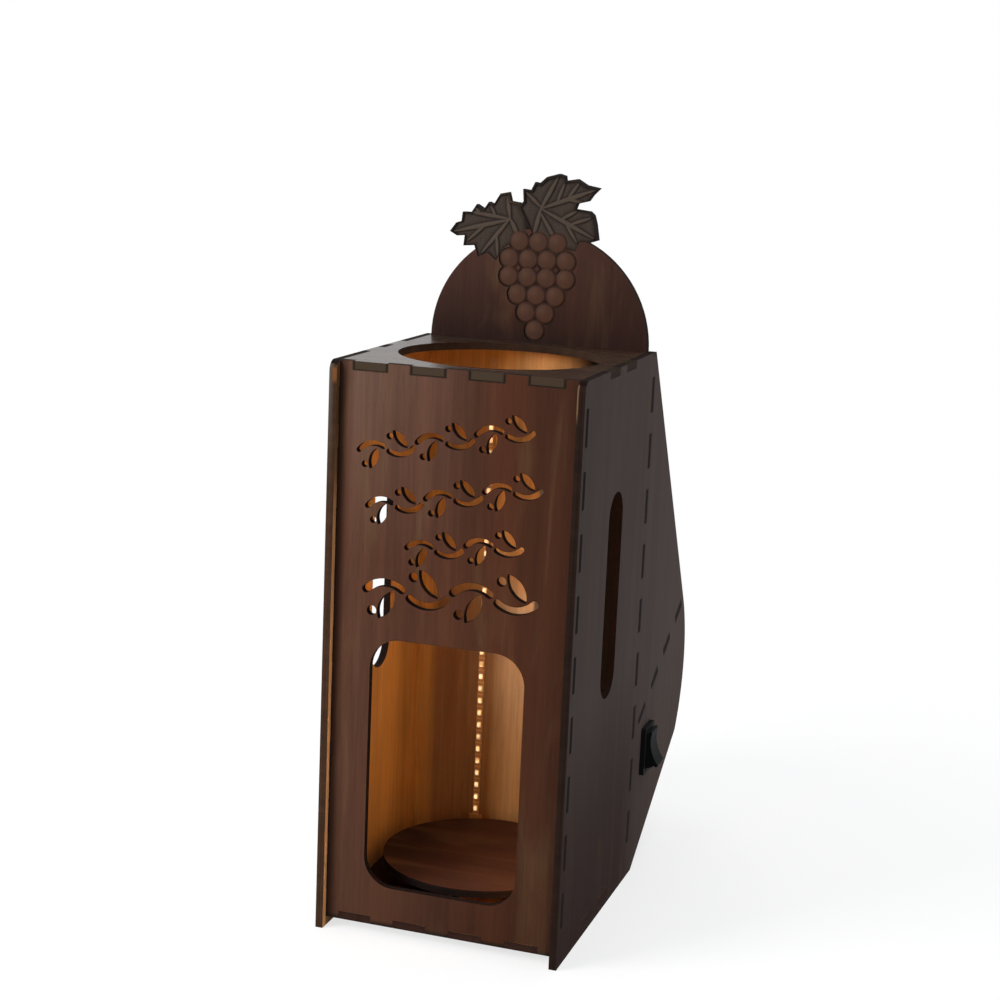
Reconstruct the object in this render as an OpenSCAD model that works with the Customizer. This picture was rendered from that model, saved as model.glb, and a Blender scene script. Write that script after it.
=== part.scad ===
// Wine bottle holder: a tab-and-slot plywood box with a lit inside, a round back with a vine
// ornament, and two wings behind it that hide the battery tray and carry the rocker switch.
// Lengths are in millimetres. +Z is up, +Y is towards the back, and the front faces -Y.

/* [Plywood] */
// Thickness of the plywood sheet
sheet = 3; // [2.6:0.1:3.6]
// Clearance on each side of a tab in its slot
fit = 0.1; // [0.05:0.01:0.15]

/* [Box] */
// Width over both side panels
box_w = 99.2; // [94:0.1:108]
// Height of the box above the table
box_h = 225; // [212:1:240]
// Inside depth, from the front panel to the back panel
inner_d = 93.4; // [90:0.1:102]
// Set-back of the front panel behind the side panels' front edges
front_inset = 2.75; // [1.5:0.05:4]
// Height of the bottom panel's underside above the table
foot_h = 4; // [2:0.5:8]
// Radius of the side panels' front top corner
corner_r = 4; // [1:0.5:8]

/* [Upright tabs] */
// Length of a tab on the front and back panels' side edges
side_tab = 14; // [10:0.5:16]
// Distance from one side tab to the next
side_pitch = 23.15; // [20:0.05:28]
// Distance from the top of the box to the first side tab
side_tab_drop = 10.25; // [8:0.25:14]

/* [Level tabs] */
// Width of a tab on the top and bottom panels' front and rear edges
front_tab = 13.2; // [9:0.1:15]
// Distance from one front tab to the next
front_pitch = 22.9; // [20:0.1:25]
// Length of a tab on the top and bottom panels' side edges
level_tab = 14; // [10:0.5:17]
// Distance between the two side tabs of the top and bottom panels
level_pitch = 24; // [20:0.5:34]

/* [Bottle place] */
// Least distance from the bottle's hole to the panels round it
hole_rim = 6.6; // [5:0.1:8.5]
// Saw width that the rest disc lost when it was cut out of the top panel
kerf = 0.5; // [0.2:0.1:1]
// Height of the rest disc's top above the bottom panel
rest_h = 13; // [9:0.5:18]
// Length of the two crossed ribs under the rest disc
rib_len = 58; // [40:1:66]

/* [Window] */
// Width of the front window
window_w = 62; // [50:1:68]
// Height of the front window
window_h = 100; // [80:1:104]
// Height of the window's lower edge above the table
window_z = 20; // [17:0.5:24]
// Corner radius of the window
window_r = 12; // [6:0.5:20]

/* [Side slots] */
// Width of the slot in each side panel
slot_w = 20; // [12:0.5:26]
// Height of the slot in each side panel
slot_h = 83; // [60:1:100]
// Height of the slot's middle above the table
slot_z = 134.5; // [120:0.5:145]

/* [Wings] */
// Flat top of the side panels behind the back panel
wing_land = 0.85; // [0.5:0.05:4]
// Foot of the side panels behind the back panel
wing_foot = 6.85; // [3:0.05:12]
// Reach of the wings behind the back panel
wing_reach = 88.2; // [82:0.1:94]
// Radius of the wings' rear curve
wing_r = 55; // [50:0.5:58]
// Angle of the wings' lower edge above level
wing_low = 30.7; // [27:0.1:33]
// Angle of the wings' upper edge from upright
wing_up = 33; // [31:0.1:35]

/* [Rear shelf] */
// Height at which the shelf's top meets the back panel
shelf_z = 64.5; // [62:0.5:70]
// Slope of the shelf
shelf_angle = 28; // [25:0.5:31]
// Length of a tab on the shelf's side edges
shelf_tab = 11.5; // [8:0.5:14]
// Distance from one shelf tab to the next
shelf_pitch = 22.1; // [18:0.1:25]
// Distance from the shelf's rear end to its last tab
shelf_tab_end = 3.2; // [2:0.1:6]

/* [Front motif] */
// Width of the cut vine stems
stem_w = 2.1; // [1.2:0.1:2.4]
// Length of one bend of a vine stem
stem_pitch = 11.8; // [10:0.1:13]
// Length of a cut leaf
leaf_len = 8.8; // [5:0.1:9.5]
// Width of a cut leaf
leaf_w = 3.7; // [2:0.1:4]
// Diameter of a cut berry
berry_d = 2.6; // [1.6:0.1:3]

/* [Vine ornament] */
// Sideways place of the ornament from the middle of the round back
vine_x = -8; // [-14:0.5:0]
// Depth of the engraved ground round the veins and grapes
engrave = 0.7; // [0.4:0.1:1]
// Depth of the veins' and grapes' tops under the panel's face
relief_drop = 0.25; // [0.1:0.05:0.35]
// Size of a leaf's engraved ground, as a part of the leaf; the rest is its rim
leaf_ground = 0.95; // [0.9:0.01:0.97]
// Width of a leaf's main veins
vein_w = 1.3; // [0.8:0.1:2]
// Diameter of a grape
grape_d = 8.4; // [6:0.1:9]

/* [Rocker switch] */
// Width of the switch's bezel
bezel_w = 15; // [14.5:0.1:17]
// Height of the switch's bezel
bezel_h = 21; // [20.6:0.1:24]
// Thickness of the bezel
bezel_t = 2; // [1.5:0.1:2.4]
// Width of the switch's body in its cut-out
switch_w = 12.8; // [12.6:0.1:13.4]
// Height of the switch's body in its cut-out
switch_h = 18.9; // [18.8:0.1:19.6]
// Depth of the switch's body behind the panel's outer face
switch_d = 12.6; // [11:0.1:16]
// Distance from the back panel's rear face to the switch's middle
switch_back = 20.4; // [17.5:0.1:24]
// Height of the switch's middle above the table
switch_z = 51.3; // [48:0.1:53]
// Tilt of the rocker on each side of its middle
rocker_tilt = 13; // [9:0.5:14]

/* [Battery tray] */
// Diameter of a cell
cell_d = 10.5; // [9.5:0.1:10.8]
// Length of a cell with its button
cell_len = 44.5; // [40:0.1:45]
// Distance from one cell to the next
cell_pitch = 11.7; // [11.5:0.1:13]
// Inside length of the tray
tray_in = 48.8; // [48:0.1:52]
// Wall of the tray
tray_wall = 1.5; // [1:0.1:2]
// Depth of the tray
tray_d = 13; // [11:0.1:15]
// Gap between the tray and the left side panel
tray_gap = 8.7; // [7.5:0.1:11]
// Height of the tray's middle above the table
tray_z = 29; // [26:0.5:33]

/* [LED strips] */
// Width of a strip
strip_w = 2.7; // [2.2:0.1:5]
// Width of a strip's foot, where the leads are soldered on
strip_foot_w = 5.6; // [5.4:0.1:8]
// Height of a strip's foot
strip_foot_h = 4; // [3.5:0.5:6]
// Thickness of a strip with its tape
strip_t = 0.5; // [0.3:0.1:1]
// Distance from one LED to the next
led_pitch = 5.4; // [4.5:0.01:16]
// Width of an LED's case across the strip
led_w = 1.8; // [1.4:0.1:2.4]
// Length of an LED's case along the strip
led_len = 2.4; // [1.6:0.1:3.5]
// Height of an LED's case above the strip
led_t = 0.5; // [0.3:0.1:1]
// Radius of an LED's round lens
lens_r = 0.8; // [0.6:0.1:0.9]
// Height of the strips' lower ends above the table
strip_z = 14; // [13.5:0.5:17]
// Gap between a strip's upper end and the top panel
strip_gap = 5; // [2:0.5:15]
// Sideways place of the strip on the back panel
rear_strip_x = -18; // [-30:0.5:-14]
// Gap between the window and the strip behind the front panel
front_strip_gap = 1.5; // [0.5:0.1:3]

/* [Leads] */
// Outer diameter of a lead
lead_d = 1.2; // [0.8:0.1:1.3]
// Diameter of the hole that the leads go through
lead_hole_d = 6; // [5:0.5:8]

/* [Hidden] */
$fn = 64;

// Overshoot of a cut past the face it goes through
cut = 1;

// Colours of the materials
front_wood = [0.36, 0.24, 0.19];
side_wood = [0.29, 0.25, 0.24];
inner_wood = [0.42, 0.26, 0.17];
black_plastic = [0.05, 0.055, 0.06];
tin = [0.75, 0.75, 0.72];
strip_white = [0.9, 0.88, 0.82];
led_amber = [1.0, 0.78, 0.4];
cell_sleeve = [0.25, 0.32, 0.42];
lead_red = [0.7, 0.07, 0.05];
lead_black = [0.06, 0.06, 0.06];

// Planes of the box, measured from the side panels' front edges and from the table
outer_x = box_w / 2;
inner_x = outer_x - sheet;
inner_w = 2 * inner_x;
front_y = front_inset + sheet;
back_y = front_y + inner_d;
rear_y = back_y + sheet;
mid_y = (front_y + back_y) / 2;
floor_z = foot_h + sheet;
ceiling_z = box_h - sheet;

// Rocker: half length, rise over its pivot, depth of its hollow and radius of its ends
rocker_half = 7.9;
rocker_rise = 5.8;
rocker_dip = 1.6;
rocker_nose = 0.8;
rocker_w = 10.2;
rocker_sweep_r = 8.3;
pivot_out = 0.2;
pivot_r = 1;
pivot_gap = 0.05;
pivot_len = 0.7;
rocker_gap = 0.2;
window_gap = 0.25;
nose_out = rocker_rise - rocker_nose;
nose_up = rocker_half - rocker_nose;
rocker_reach = pivot_out + nose_out * cos(rocker_tilt) + nose_up * sin(rocker_tilt) + rocker_nose;

// The origin is the middle of the part's bounding box on the table
wing_rear_y = rear_y + wing_reach;
origin_x = rocker_reach / 2;
origin_y = wing_rear_y / 2;

// Numbers and places of the tabs
side_tab_n = floor((box_h - foot_h - side_tab_drop - 1.4 * side_tab) / side_pitch) + 1;
side_tab_z = [for (i = [0 : side_tab_n - 1]) box_h - side_tab_drop - side_tab / 2 - i * side_pitch];
front_tab_n = floor((inner_w - front_tab - 5) / front_pitch) + 1;
front_tab_x = [for (i = [0 : front_tab_n - 1]) (i - (front_tab_n - 1) / 2) * front_pitch];
level_tab_y = [mid_y - level_pitch / 2, mid_y + level_pitch / 2];

// Outline of the wings
wing_top_y = rear_y + wing_land;
wing_foot_y = rear_y + wing_foot;
arc_y = wing_rear_y - wing_r;
arc_z = box_h - (wing_r + (arc_y - wing_top_y) * cos(wing_up)) / sin(wing_up);
tangent_y = arc_y + wing_r * cos(wing_up);
tangent_z = arc_z + wing_r * sin(wing_up);
// Distance from a point (depth, height) to the wings' rear curve, at an angle above level
function to_arc(y, z, angle) = let (
    ahead = cos(angle) * (y - arc_y) + sin(angle) * (z - arc_z)
) sqrt(pow(ahead, 2) + pow(wing_r, 2) - pow(y - arc_y, 2) - pow(z - arc_z, 2)) - ahead;

wing_run = 2 * wing_reach;
low_run = to_arc(wing_foot_y, 0, wing_low);
low_y = wing_foot_y + low_run * cos(wing_low);
low_z = low_run * sin(wing_low);

// The shelf runs from the back panel to the wings' rear edge
shelf_dy = cos(shelf_angle);
shelf_dz = sin(shelf_angle);

shelf_to_slope = ((box_h - shelf_z) * sin(wing_up) - (rear_y - wing_top_y) * cos(wing_up))
    / cos(shelf_angle - wing_up);
shelf_inset = 0.6;
shelf_len = min(shelf_to_slope, to_arc(rear_y, shelf_z, shelf_angle)) - shelf_inset;
shelf_start = sheet * tan(shelf_angle) + 0.1;
shelf_tab_n = floor((shelf_len - shelf_start - shelf_tab_end - shelf_tab) / shelf_pitch) + 1;
shelf_tabs = [
    for (i = [0 : shelf_tab_n - 1]) shelf_len - shelf_tab_end - shelf_tab / 2 - i * shelf_pitch
];

// Bottle place
hole_d = min(inner_w, inner_d) - 2 * hole_rim;
hole_r = hole_d / 2;
disc_r = hole_r - kerf;
rib_h = rest_h - sheet;
rest_z = floor_z + rib_h;

// Battery tray
tray_l = tray_in + 2 * tray_wall;
tray_x = tray_gap + tray_l / 2 - inner_x;
tray_h = 2 * cell_pitch + cell_d + 2 * tray_wall + 0.8;
tray_bay_r = cell_d / 2 + 0.3;
tray_y = rear_y;
cell_y = tray_y + tray_wall + tray_bay_r;
cell_rest = 0.25;
cell_z = [for (i = [-1 : 1]) tray_z + i * cell_pitch];
cell_way = [1, -1, 1];
plate_t = 0.4;
plate_slot = plate_t + 0.15;
spring_h = tray_in - cell_len - 2 * plate_t - 0.3;

// LED strips
strip_top = ceiling_z - strip_gap;
strip_len = strip_top - strip_z;
led_n = floor((strip_len - 2 * led_pitch) / led_pitch) + 1;
front_strip_x = window_w / 2 + front_strip_gap + strip_w / 2;
rear_face = back_y - strip_t;
front_face = front_y + strip_t;

// Lead hole and the leads' tracks along the foot of the back panel
lead_r = lead_d / 2;
lead_hole_x = 24;
lead_hole_z = 14;
track_y = back_y - lead_r - 0.1;
track_z = [for (i = [0 : 3]) floor_z + lead_r + 0.05 + i * (lead_d + 0.1)];
wall_x = inner_x - lead_r - 0.1;
solder = 0.1;

// Terminals of the switch
blade_w = 4.8;
blade_t = 0.8;
blade_out = 7.6;
blade_in = 3;
blade_up = 4.6;
blade_gap = 0.05;
blade_x = outer_x - switch_d - blade_out;
switch_y = rear_y + switch_back;

// Moves a sub-part from the box's own corner to the part's origin
module placed() {
    translate([-origin_x, -origin_y, 0]) children();
}

// Stands a sheet cut from a (depth, height) outline at a given x
module upright_yz(x) {
    translate([x, 0, 0]) rotate([90, 0, 90]) linear_extrude(sheet) children();
}

// Stands a sheet cut from a (width, height) outline with its front face at a given y
module upright_xz(y, thickness = sheet) {
    translate([0, y + thickness, 0]) rotate([90, 0, 0]) linear_extrude(thickness) children();
}

// Lays a sheet cut from a (width, depth) outline at a given height
module level_xy(z) {
    translate([0, 0, z]) linear_extrude(sheet) children();
}

// A rectangle given by its middle
module middle_rect(at, size) {
    translate(at - size / 2) square(size);
}

// A pointed leaf, lying along x
module leaf(length, width) {
    bend = (pow(length, 2) + pow(width, 2)) / (4 * width);
    intersection() {
        translate([0, bend - width / 2]) circle(bend);
        translate([0, width / 2 - bend]) circle(bend);
    }
}

// A leaf from one point to another
module leaf_between(from, to, width) {
    run = to - from;
    translate((from + to) / 2) rotate(atan2(run[1], run[0])) leaf(norm(run), width);
}

// A bar with round ends
module round_bar(length, width) {
    square([length - width, width], center = true);
    for (s = [-1, 1]) translate([s * (length - width) / 2, 0]) circle(width / 2);
}

// A rectangle with round corners, given by its lower left corner
module round_rect(at, size, r) {
    translate(at) {
        translate([r, 0]) square([size[0] - 2 * r, size[1]]);
        translate([0, r]) square([size[0], size[1] - 2 * r]);
        for (x = [r, size[0] - r], y = [r, size[1] - r]) translate([x, y]) circle(r);
    }
}

// Outline of a side panel: box, wing and rear curve, in depth and height
module side_outline() {
    intersection() {
        polygon([
            [0, 0], [wing_foot_y, 0],
            [wing_foot_y + wing_run * cos(wing_low), wing_run * sin(wing_low)],
            [wing_foot_y + wing_run, box_h], [0, box_h]
        ]);
        union() {
            square([wing_top_y, box_h]);
            polygon([
                [wing_top_y, 0], [low_y, 0], [low_y, low_z],
                [arc_y, arc_z], [tangent_y, tangent_z], [wing_top_y, box_h]
            ]);
            translate([arc_y, arc_z]) circle(wing_r, $fn = 128);
        }
    }
}

// Slots and notches that every side panel has, in depth and height
module side_cuts() {
    for (z = side_tab_z, y = [front_y, rear_y]) {
        middle_rect([y - sheet / 2, z], [sheet + 2 * fit, side_tab + 2 * fit]);
    }
    for (y = level_tab_y) {
        middle_rect([y, foot_h + sheet / 2], [level_tab + 2 * fit, sheet + 2 * fit]);
        translate([y - level_tab / 2 - fit, ceiling_z - fit]) square([level_tab + 2 * fit, sheet + cut]);
    }
    for (s = shelf_tabs) {
        translate([rear_y + s * shelf_dy, shelf_z + s * shelf_dz]) rotate(shelf_angle)
            translate([0, -sheet / 2]) square([shelf_tab + 2 * fit, sheet + 2 * fit], center = true);
    }
    translate([mid_y, slot_z]) rotate(90) round_bar(slot_h, slot_w);
    translate([0, box_h - corner_r]) difference() {
        translate([-cut, 0]) square([corner_r + cut, corner_r + cut]);
        translate([corner_r, 0]) circle(corner_r);
    }
}

module side_panel_left() {
    color(side_wood) placed() upright_yz(-outer_x) difference() {
        side_outline();
        side_cuts();
    }
}

module side_panel_right() {
    color(side_wood) placed() upright_yz(inner_x) difference() {
        side_outline();
        side_cuts();
        middle_rect([switch_y, switch_z], [switch_w + 2 * fit, switch_h + 2 * fit]);
    }
}

// Tabs on both side edges of the front and back panels
module side_tabs() {
    for (s = [-1, 1], z = side_tab_z) {
        middle_rect([s * (outer_x - sheet), z], [2 * sheet, side_tab]);
    }
}

// Slots for the tabs of a level panel whose underside is at z
module front_tab_cuts(z, above, below) {
    for (x = front_tab_x) {
        translate([x - front_tab / 2 - fit, z - below])
            square([front_tab + 2 * fit, sheet + above + below]);
    }
}

// Rows of the front motif: middle as parts of the window's size, tilt, scale and number of bends
motif_rows = [
    [[-0.065, 0.78], 12, 1, 6],
    [[0, 0.57], 12, 1, 6],
    [[0.08, 0.385], 8, 1, 4],
    [[0, 0.195], 4, 1.48, 4]
];

// One bend of the vine: a curved stem, a leaf on its hollow side and a berry beyond
module vine_bend(side) {
    bend_angle = 41;
    bend_r = stem_pitch / 2 / sin(52);
    leaf_at = leaf_len * [0.045, -0.33];
    berry_at = leaf_len * [-0.41, -0.52];
    scale([1, side]) {
        translate([0, -bend_r * cos(52)]) {
            intersection() {
                difference() {
                    circle(bend_r + stem_w / 2);
                    circle(bend_r - stem_w / 2);
                }
                polygon([
                    [0, 0], [-2 * bend_r * sin(bend_angle), 2 * bend_r * cos(bend_angle)],
                    [2 * bend_r * sin(bend_angle), 2 * bend_r * cos(bend_angle)]
                ]);
            }
            for (s = [-1, 1]) {
                translate([s * bend_r * sin(bend_angle), bend_r * cos(bend_angle)]) circle(stem_w / 2);
            }
        }
        translate(leaf_at) rotate(58) leaf(leaf_len, leaf_w);
        translate(berry_at) circle(berry_d / 2);
    }
}

// The motif stands over the window, in width and height
module front_motif() {
    translate([0, window_z + window_h]) {
        for (row = motif_rows) {
            translate([row[0][0] * window_w, row[0][1] * window_h]) rotate(row[1]) scale(row[2]) {
                for (i = [0 : row[3] - 1]) {
                    translate([(i - (row[3] - 1) / 2) * stem_pitch, 0]) vine_bend(i % 2 == 0 ? 1 : -1);
                }
            }
        }
    }
}

module front_panel() {
    color(front_wood) placed() upright_xz(front_inset) difference() {
        union() {
            translate([-inner_x + fit, foot_h]) square([inner_w - 2 * fit, box_h - foot_h]);
            side_tabs();
        }
        front_tab_cuts(ceiling_z - fit, cut, 0);
        front_tab_cuts(foot_h, fit, cut);
        round_rect([-window_w / 2, window_z], [window_w, window_h], window_r);
        front_motif();
    }
}

// Right vine leaf, clockwise from its foot round its five lobes
right_leaf = [
    [3, -2], [0, 4], [-2.6, 8.6], [-0.6, 10.6], [-1, 15.6], [2.4, 15.2], [4, 18.6], [6, 18.2],
    [8.9, 20.9], [13.9, 22.4], [16.6, 21.7], [16.9, 19.8], [21.8, 20.7], [25.8, 18.4],
    [31.3, 17.5], [28.5, 14.6], [26.8, 12.1], [22.3, 10.9], [21.5, 8.7], [27.6, 8.1],
    [29.3, 6.7], [30.4, 3.1], [31.5, -3.3], [28.3, -4.4], [24.4, -4.6], [22.6, -8.6],
    [18.4, -8], [14.6, -11], [9, -8]
];

// Left vine leaf, hanging lower and to the side
left_leaf = [
    [2, -3], [1, 5], [-2.4, 10], [-6, 10.4], [-7, 14], [-10.6, 13.2], [-13.2, 8.8], [-15.4, 9.6],
    [-17.4, 6.6], [-20.6, 8.4], [-22.8, 5], [-26.6, 5], [-27, 1.2], [-29.3, 0.4], [-31.9, -3.2],
    [-28.7, -4.9], [-25.4, -4.6], [-25.8, -8.8], [-21, -8.4], [-19.4, -13.4], [-15, -11.4],
    [-11, -14.6], [-8, -9]
];

// Veins of each leaf: from, to, greatest width as a part of a main vein's
right_veins = [
    [[4, -4], [7, 8.4], 1], [[6.6, 7.4], [13.6, 21], 0.95], [[6.8, 8], [29.6, 16.8], 1],
    [[7, 8], [29.6, -2.6], 1], [[6.4, 7], [16.6, -8.6], 0.85], [[7, 8.6], [0.4, 14.2], 0.8],
    [[13.6, 10.8], [16.4, 18.4], 0.65], [[18, 12.6], [22.6, 19.2], 0.65],
    [[17.6, 12.4], [24.6, 11.4], 0.6], [[15.6, 4.2], [22, 7.8], 0.65],
    [[19.6, 2.4], [28, 5.4], 0.65], [[17.4, 3.2], [22.6, -4.6], 0.65]
];
left_veins = [
    [[-2, -4], [-6, 3.4], 1], [[-5.6, 3], [-30, -3.2], 1], [[-6, 3.2], [-24.4, 5.2], 0.85],
    [[-6, 3], [-7.6, 12.2], 0.85], [[-6, 3.4], [-17.6, -11.2], 0.9],
    [[-12.4, 4.2], [-14.6, 8], 0.6], [[-16, 0.6], [-24, -6.6], 0.65],
    [[-18.6, 4.2], [-21.4, 7], 0.6], [[-11.6, -3.2], [-10.8, -12.2], 0.65]
];

// Grapes hang in rows under the leaves: number in each row from the top
grape_rows = [3, 4, 4, 3, 2, 1];
grape_step = [0.96 * grape_d, 0.86 * grape_d];
grape_top = -5.5;
grape_lean = 6.5;

function grape_at(row, i) = [
    (i - (grape_rows[row] - 1) / 2) * grape_step[0] + grape_lean,
    grape_top - row * grape_step[1]
];

// Puts a drawing of the ornament at the top of the round back, in width and height
module at_vine() {
    translate([vine_x, box_h + inner_x]) children();
}

// The grapes, each r larger or smaller than its size
module grapes(r) {
    for (row = [0 : len(grape_rows) - 1], i = [0 : grape_rows[row] - 1]) {
        translate(grape_at(row, i)) circle(grape_d / 2 + r, $fn = 32);
    }
}

// Engraved ground of the leaves and the bunch
module vine_ground() {
    at_vine() {
        translate([0.8, 0]) scale(leaf_ground) polygon(right_leaf);
        translate([-0.8, -0.2]) scale(leaf_ground) polygon(left_leaf);
        grapes(0.4);
    }
}

// Veins and grapes, which stand up from the ground
module vine_relief() {
    at_vine() {
        for (v = right_veins) leaf_between(v[0], v[1], vein_w * v[2]);
        for (v = left_veins) leaf_between(v[0], v[1], vein_w * v[2]);
        grapes(-0.7);
    }
}

module back_panel() {
    color(front_wood) placed() difference() {
        union() {
            upright_xz(back_y) difference() {
                union() {
                    translate([-inner_x + fit, foot_h]) square([inner_w - 2 * fit, box_h - foot_h]);
                    side_tabs();
                    translate([0, box_h]) circle(inner_x - fit, $fn = 128);
                }
                front_tab_cuts(ceiling_z - fit, fit, fit);
                front_tab_cuts(foot_h, fit, cut);
                translate([lead_hole_x, lead_hole_z]) circle(lead_hole_d / 2);
            }
            upright_xz(back_y) at_vine() polygon(right_leaf);
            upright_xz(back_y) at_vine() polygon(left_leaf);
        }
        upright_xz(back_y - cut, cut + relief_drop) vine_ground();
        upright_xz(back_y - cut, cut + engrave) difference() {
            vine_ground();
            vine_relief();
        }
    }
}

// A level panel with tabs on all four edges, in width and depth
module level_outline() {
    translate([-inner_x + fit, front_y + fit]) square([inner_w - 2 * fit, inner_d - 2 * fit]);
    for (x = front_tab_x) {
        translate([x - front_tab / 2, front_inset]) square([front_tab, rear_y - front_inset]);
    }
    for (y = level_tab_y) {
        translate([-outer_x, y - level_tab / 2]) square([box_w, level_tab]);
    }
}

module top_panel() {
    color(front_wood) placed() level_xy(ceiling_z) difference() {
        level_outline();
        translate([0, mid_y]) circle(hole_r, $fn = 128);
    }
}

module bottom_panel() {
    color(inner_wood) placed() level_xy(foot_h) level_outline();
}

module rest_disc() {
    color(front_wood) placed() translate([0, mid_y, rest_z]) cylinder(h = sheet, r = disc_r, $fn = 128);
}

// A rib as (length, height) outline with a half-deep notch at its middle
module rib_outline(notch_z) {
    difference() {
        translate([-rib_len / 2, floor_z]) square([rib_len, rib_h]);
        translate([-sheet / 2 - fit, notch_z]) square([sheet + 2 * fit, rib_h]);
    }
}

module rest_rib_long() {
    color(inner_wood) placed() upright_xz(mid_y - sheet / 2) rib_outline(floor_z + rib_h / 2 - fit);
}

module rest_rib_cross() {
    color(inner_wood) placed() upright_yz(-sheet / 2) translate([mid_y, 0])
        rib_outline(floor_z - rib_h / 2 + fit);
}

module rear_shelf() {
    color(side_wood) placed() translate([0, rear_y, shelf_z]) rotate([shelf_angle, 0, 0])
        translate([0, 0, -sheet]) linear_extrude(sheet) {
            translate([-inner_x + fit, shelf_start]) square([inner_w - 2 * fit, shelf_len - shelf_start]);
            for (s = shelf_tabs) {
                translate([-outer_x, s - shelf_tab / 2]) square([box_w, shelf_tab]);
            }
        }
}

// Puts a drawing of the switch at its cut-out: x outwards from the panel's outer face
module at_switch() {
    placed() translate([outer_x, switch_y, switch_z]) children();
}

// A block centred on the switch's axis, from one depth to another
module switch_block(from, to, width, height) {
    translate([from, -width / 2, -height / 2]) cube([to - from, width, height]);
}

module switch_housing() {
    hollow_w = rocker_w + 2 * rocker_gap;
    hollow_h = 2 * (rocker_sweep_r + window_gap);
    hollow_d = 7;
    clip_h = 0.8;
    clip_w = 6;
    clip_len = 4;
    color(black_plastic) at_switch() difference() {
        union() {
            switch_block(-switch_d, 0, switch_w, switch_h);
            rotate([90, 0, 90]) linear_extrude(bezel_t)
                round_rect([-bezel_w / 2, -bezel_h / 2], [bezel_w, bezel_h], 1);
            for (s = [-1, 1]) {
                translate([-sheet - fit, clip_w / 2, s * switch_h / 2]) rotate([90, 0, 0])
                    linear_extrude(clip_w) polygon([[0, 0], [0, s * clip_h], [-clip_len, 0]]);
            }
        }
        switch_block(-hollow_d, bezel_t + cut, hollow_w, hollow_h);
        translate([pivot_out, 0, 0]) rotate([90, 0, 0])
            cylinder(h = hollow_w + 2 * pivot_len, r = pivot_r + pivot_gap, center = true, $fn = 32);
        for (s = [-1, 1]) {
            translate([0, 0, s * blade_up]) switch_block(
                -switch_d - cut, -switch_d + blade_in + blade_gap,
                blade_w + 2 * blade_gap, blade_t + 2 * blade_gap
            );
        }
    }
}

// Outline of the rocker about its pivot: x outwards, y along its length
module rocker_outline() {
    stub_w = 3;
    stub_d = 5.6;
    root_d = 2.6;
    hollow_r = (pow(nose_up, 2) + pow(rocker_dip, 2)) / (2 * rocker_dip);
    difference() {
        union() {
            intersection() {
                circle(rocker_sweep_r);
                translate([-root_d, -rocker_half]) square([root_d + nose_out, 2 * rocker_half]);
            }
            translate([nose_out - cut, -nose_up]) square([cut + rocker_nose, 2 * nose_up]);
            for (s = [-1, 1]) translate([nose_out, s * nose_up]) circle(rocker_nose);
            translate([-stub_d, -stub_w / 2]) square([stub_d, stub_w]);
        }
        translate([rocker_rise - rocker_dip + hollow_r, 0]) circle(hollow_r, $fn = 128);
    }
}

module switch_rocker() {
    color(black_plastic) at_switch() translate([pivot_out, 0, 0]) rotate([0, -rocker_tilt, 0]) {
        translate([0, rocker_w / 2, 0]) rotate([90, 0, 0]) linear_extrude(rocker_w) rocker_outline();
        rotate([90, 0, 0]) cylinder(
            h = rocker_w + 2 * (rocker_gap + pivot_len - pivot_gap), r = pivot_r, center = true, $fn = 32
        );
    }
}

module switch_terminals() {
    color(tin) at_switch() for (s = [-1, 1]) {
        translate([0, 0, s * blade_up]) difference() {
            switch_block(-switch_d - blade_out, -switch_d + blade_in, blade_w, blade_t);
            translate([-switch_d - blade_out + 2.2, 0, 0])
                cylinder(h = blade_t + cut, r = 0.8, center = true, $fn = 24);
        }
    }
}

// The tray is open to the back, with a bay for each cell
module battery_tray() {
    color(black_plastic) placed() translate([tray_x, tray_y, tray_z]) difference() {
        translate([-tray_l / 2, 0, -tray_h / 2]) cube([tray_l, tray_d, tray_h]);
        for (z = cell_z) {
            translate([0, tray_wall + tray_bay_r, z - tray_z]) rotate([0, 90, 0])
                cylinder(h = tray_in, r = tray_bay_r, center = true);
        }
        translate([-tray_in / 2, tray_wall + tray_bay_r, -tray_h / 2 + tray_wall])
            cube([tray_in, tray_d, tray_h - 2 * tray_wall]);
        for (end = [-1, 1]) {
            translate([end * (tray_in - plate_slot) / 2 - plate_slot / 2, tray_wall, -tray_h / 2 + tray_wall])
                cube([plate_slot, tray_d, tray_h - 2 * tray_wall]);
        }
        for (end = [[-1, cell_z[0]], [1, cell_z[2]]]) {
            translate([end[0] * (tray_in + tray_wall) / 2, cell_y - tray_y, end[1] - tray_z])
                rotate([0, 90, 0]) cylinder(h = tray_wall + cut, r = lead_r + 0.2, center = true, $fn = 24);
        }
    }
}

// One cell, with its button towards +x or -x
module battery_cell(i) {
    button_r = 1.9;
    button_h = 1.1;
    edge_r = 0.5;
    body_r = cell_d / 2;
    body_l = cell_len - button_h;
    seat = cell_way[i] * (tray_in / 2 - plate_t - cell_len / 2 - 0.1);
    color(cell_sleeve) placed()
        translate([tray_x + seat, cell_y - cell_rest, cell_z[i]])
            rotate([0, cell_way[i] * 90, 0]) translate([0, 0, -cell_len / 2]) rotate_extrude() {
                square([body_r - edge_r, body_l]);
                translate([0, edge_r]) square([body_r, body_l - 2 * edge_r]);
                for (z = [edge_r, body_l - edge_r]) {
                    intersection() {
                        translate([body_r - edge_r, z]) circle(edge_r, $fn = 24);
                        square([body_r, body_l]);
                    }
                }
                square([button_r, cell_len]);
            }
}

module battery_cell_1() { battery_cell(0); }

module battery_cell_2() { battery_cell(1); }

module battery_cell_3() { battery_cell(2); }

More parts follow.
